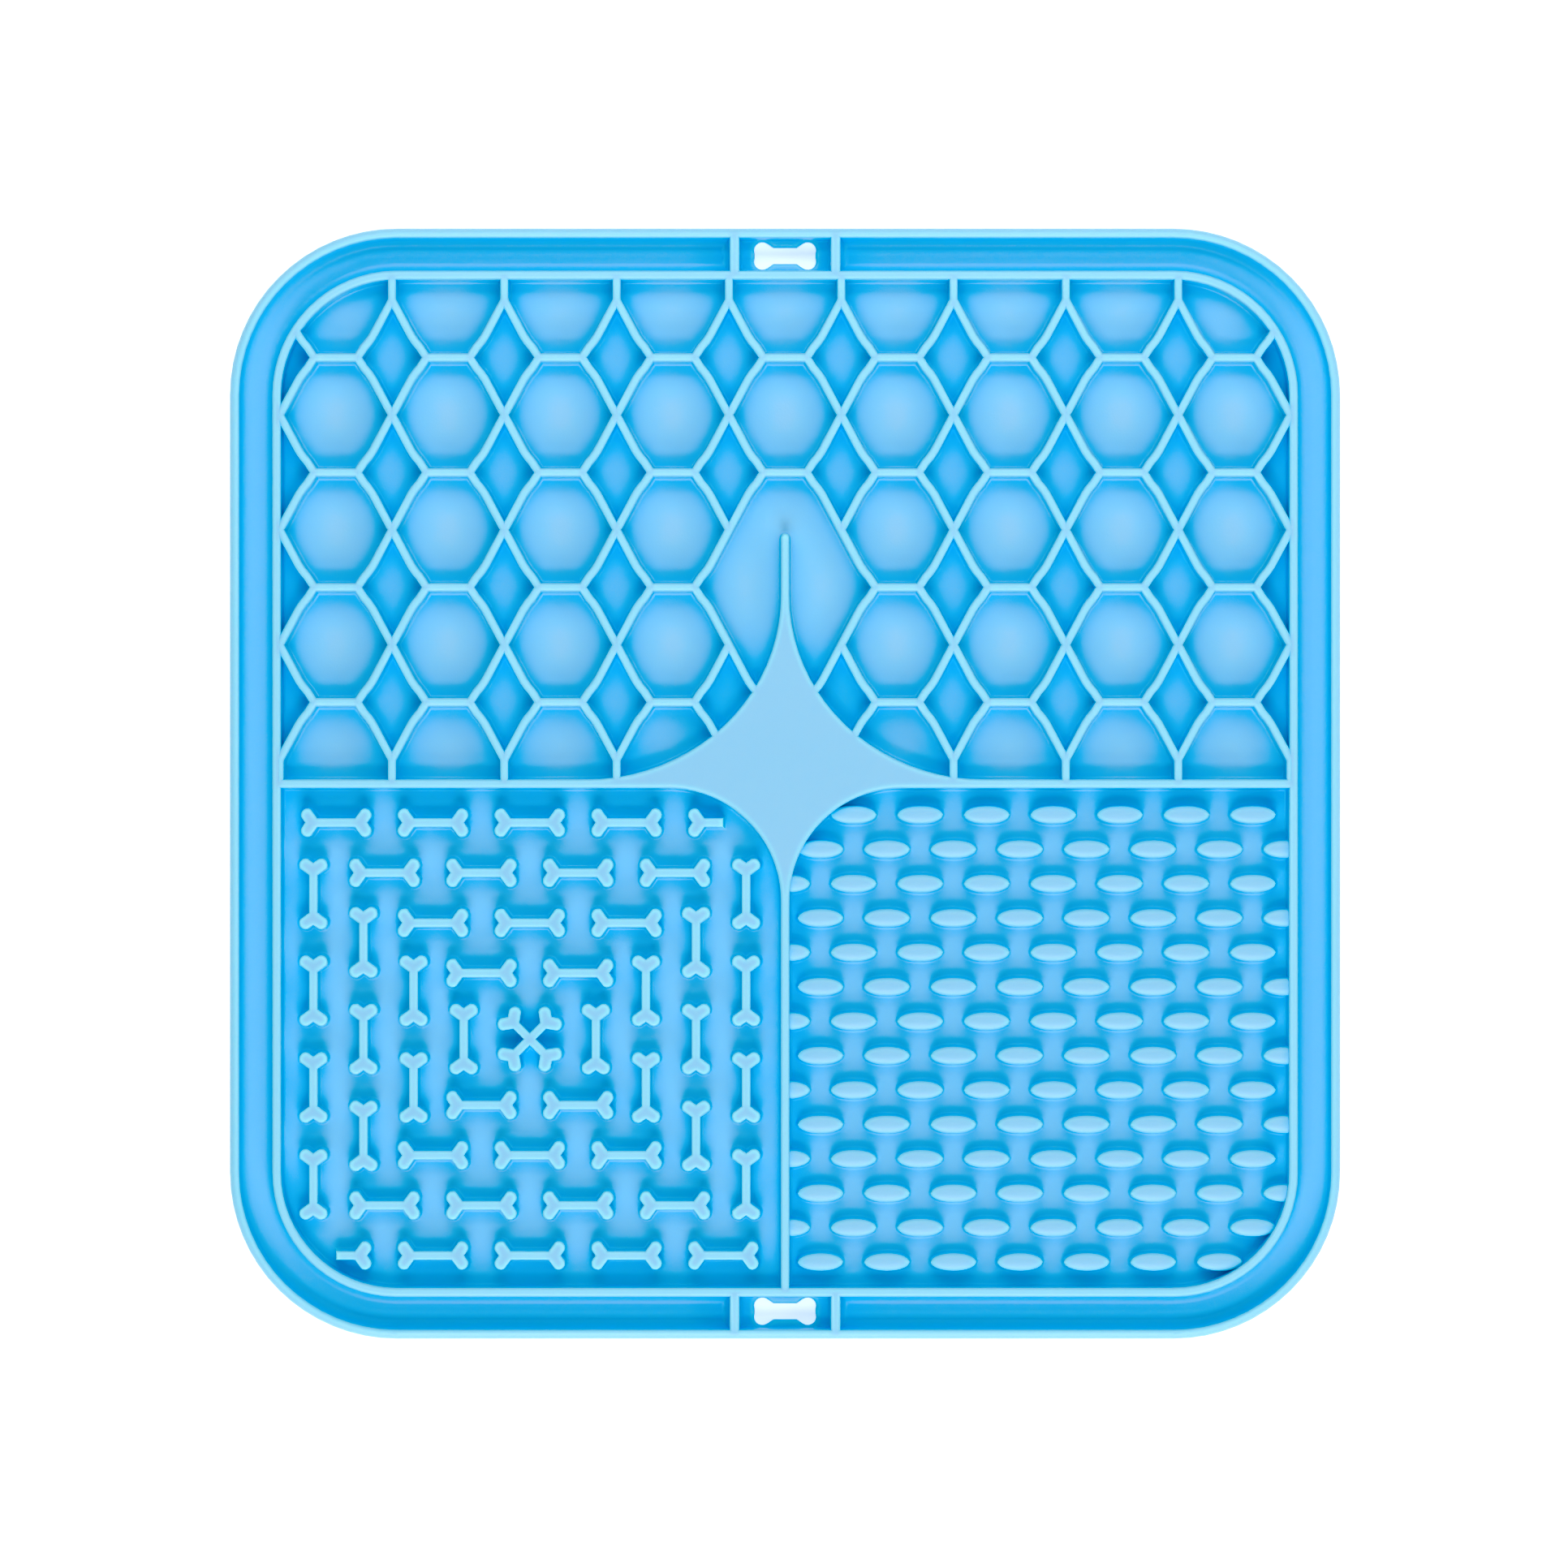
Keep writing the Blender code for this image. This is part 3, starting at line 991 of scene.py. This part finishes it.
class LICKMAT_OT_stage(MatOperator, bpy.types.Operator):
    """Set up the pale floor, the soft lights and the overhead camera"""

    bl_idname = "lick_mat.stage"
    bl_label = "Stage"

    def lamp(self, name, place, size, power):
        """A soft rectangular lamp that faces the middle of the mat."""
        bpy.ops.object.light_add(type="AREA", location=place)
        lamp = bpy.context.object
        lamp.name = name
        lamp.data.shape = "RECTANGLE"
        lamp.data.size, lamp.data.size_y = size
        lamp.data.energy = power
        lamp.rotation_euler = (-Vector(place)).to_track_quat("-Z", "Y").to_euler()

    def cove(self):
        """A round floor that curves up into a low wall, so that no horizon shows."""
        bpy.ops.mesh.primitive_circle_add(
            vertices=COVE_TURNS,
            radius=FLOOR_RADIUS,
            fill_type="TRIFAN",
            location=(0, 0, -FLOOR_DROP),
        )
        floor = bpy.context.object
        floor.name = "studio_floor"
        rings = arc((FLOOR_RADIUS, COVE_RADIUS), (COVE_RADIUS, COVE_RADIUS), 270, 360, COVE_STEPS)
        rings.append((FLOOR_RADIUS + COVE_RADIUS, COVE_TOP))
        with editing(floor):
            bpy.ops.mesh.select_mode(type="EDGE")
            bpy.ops.mesh.select_non_manifold(extend=False)
            for (radius, height), (wider, higher) in zip(rings, rings[1:]):
                bpy.ops.mesh.extrude_region_move(
                    TRANSFORM_OT_translate={"value": (0, 0, higher - height)}
                )
                bpy.ops.transform.resize(value=(wider / radius, wider / radius, 1))
        bpy.ops.object.shade_smooth()
        floor.data.materials.append(floor_material())

    def air(self):
        """Even, faintly blue light from all round."""
        world = bpy.data.worlds.new("studio_air")
        world.use_nodes = True
        background = world.node_tree.nodes["Background"]
        background.inputs["Color"].default_value = linear("#E7F9FF")
        background.inputs["Strength"].default_value = AIR_STRENGTH
        bpy.context.scene.world = world

    def camera_look(self):
        """Reds fall away in the shade, so that blues there turn deep azure."""
        view = bpy.context.scene.view_settings
        view.view_transform = "Standard"
        view.use_curve_mapping = True
        for x, y in CAMERA_REDS:
            view.curve_mapping.curves[0].points.new(x, y)
        view.curve_mapping.update()

    def camera(self):
        """A camera straight above, which shows VIEW_WIDTH at the height of the ribs."""
        bpy.ops.object.camera_add(location=CAMERA_PLACE, rotation=(0, 0, 0))
        camera = bpy.context.object
        camera.name = "overhead_camera"
        distance = CAMERA_PLACE[2] - self.sizes.wall_top
        camera.data.sensor_width = SENSOR_WIDTH
        camera.data.lens = SENSOR_WIDTH * distance / VIEW_WIDTH
        bpy.context.scene.camera = camera

    def execute(self, context):
        deselect()
        self.cove()
        for lamp in LAMPS:
            self.lamp(*lamp)
        self.air()
        self.camera_look()
        self.camera()
        return {"FINISHED"}


OPERATORS = (
    LICKMAT_OT_blank,
    LICKMAT_OT_recesses,
    LICKMAT_OT_lattice,
    LICKMAT_OT_bones,
    LICKMAT_OT_ovals,
    LICKMAT_OT_eyelets,
    LICKMAT_OT_finish,
    LICKMAT_OT_stage,
)


class LICKMAT_PT_panel(bpy.types.Panel):
    """Sizes, finish and the steps in order"""

    bl_idname = "LICKMAT_PT_panel"
    bl_label = "Lick Mat"
    bl_space_type = "VIEW_3D"
    bl_region_type = "UI"
    bl_category = "Lick Mat"

    def draw(self, context):
        layout = self.layout
        for group in (context.scene.lick_mat_sizes, context.scene.lick_mat_finish):
            column = layout.column(align=True)
            for name in group.__annotations__:
                column.prop(group, name)
        column = layout.column(align=True)
        for operator in OPERATORS:
            column.operator(operator.bl_idname)


CLASSES = (LickMatSizes, LickMatFinish, *OPERATORS, LICKMAT_PT_panel)


def register():
    for each in CLASSES:
        bpy.utils.register_class(each)
    bpy.types.Scene.lick_mat_sizes = PointerProperty(type=LickMatSizes)
    bpy.types.Scene.lick_mat_finish = PointerProperty(type=LickMatFinish)


def unregister():
    del bpy.types.Scene.lick_mat_finish
    del bpy.types.Scene.lick_mat_sizes
    for each in reversed(CLASSES):
        bpy.utils.unregister_class(each)


def main():
    register()
    for operator in OPERATORS:
        getattr(bpy.ops.lick_mat, operator.bl_idname.split(".")[1])()


if __name__ == "__main__":
    main()
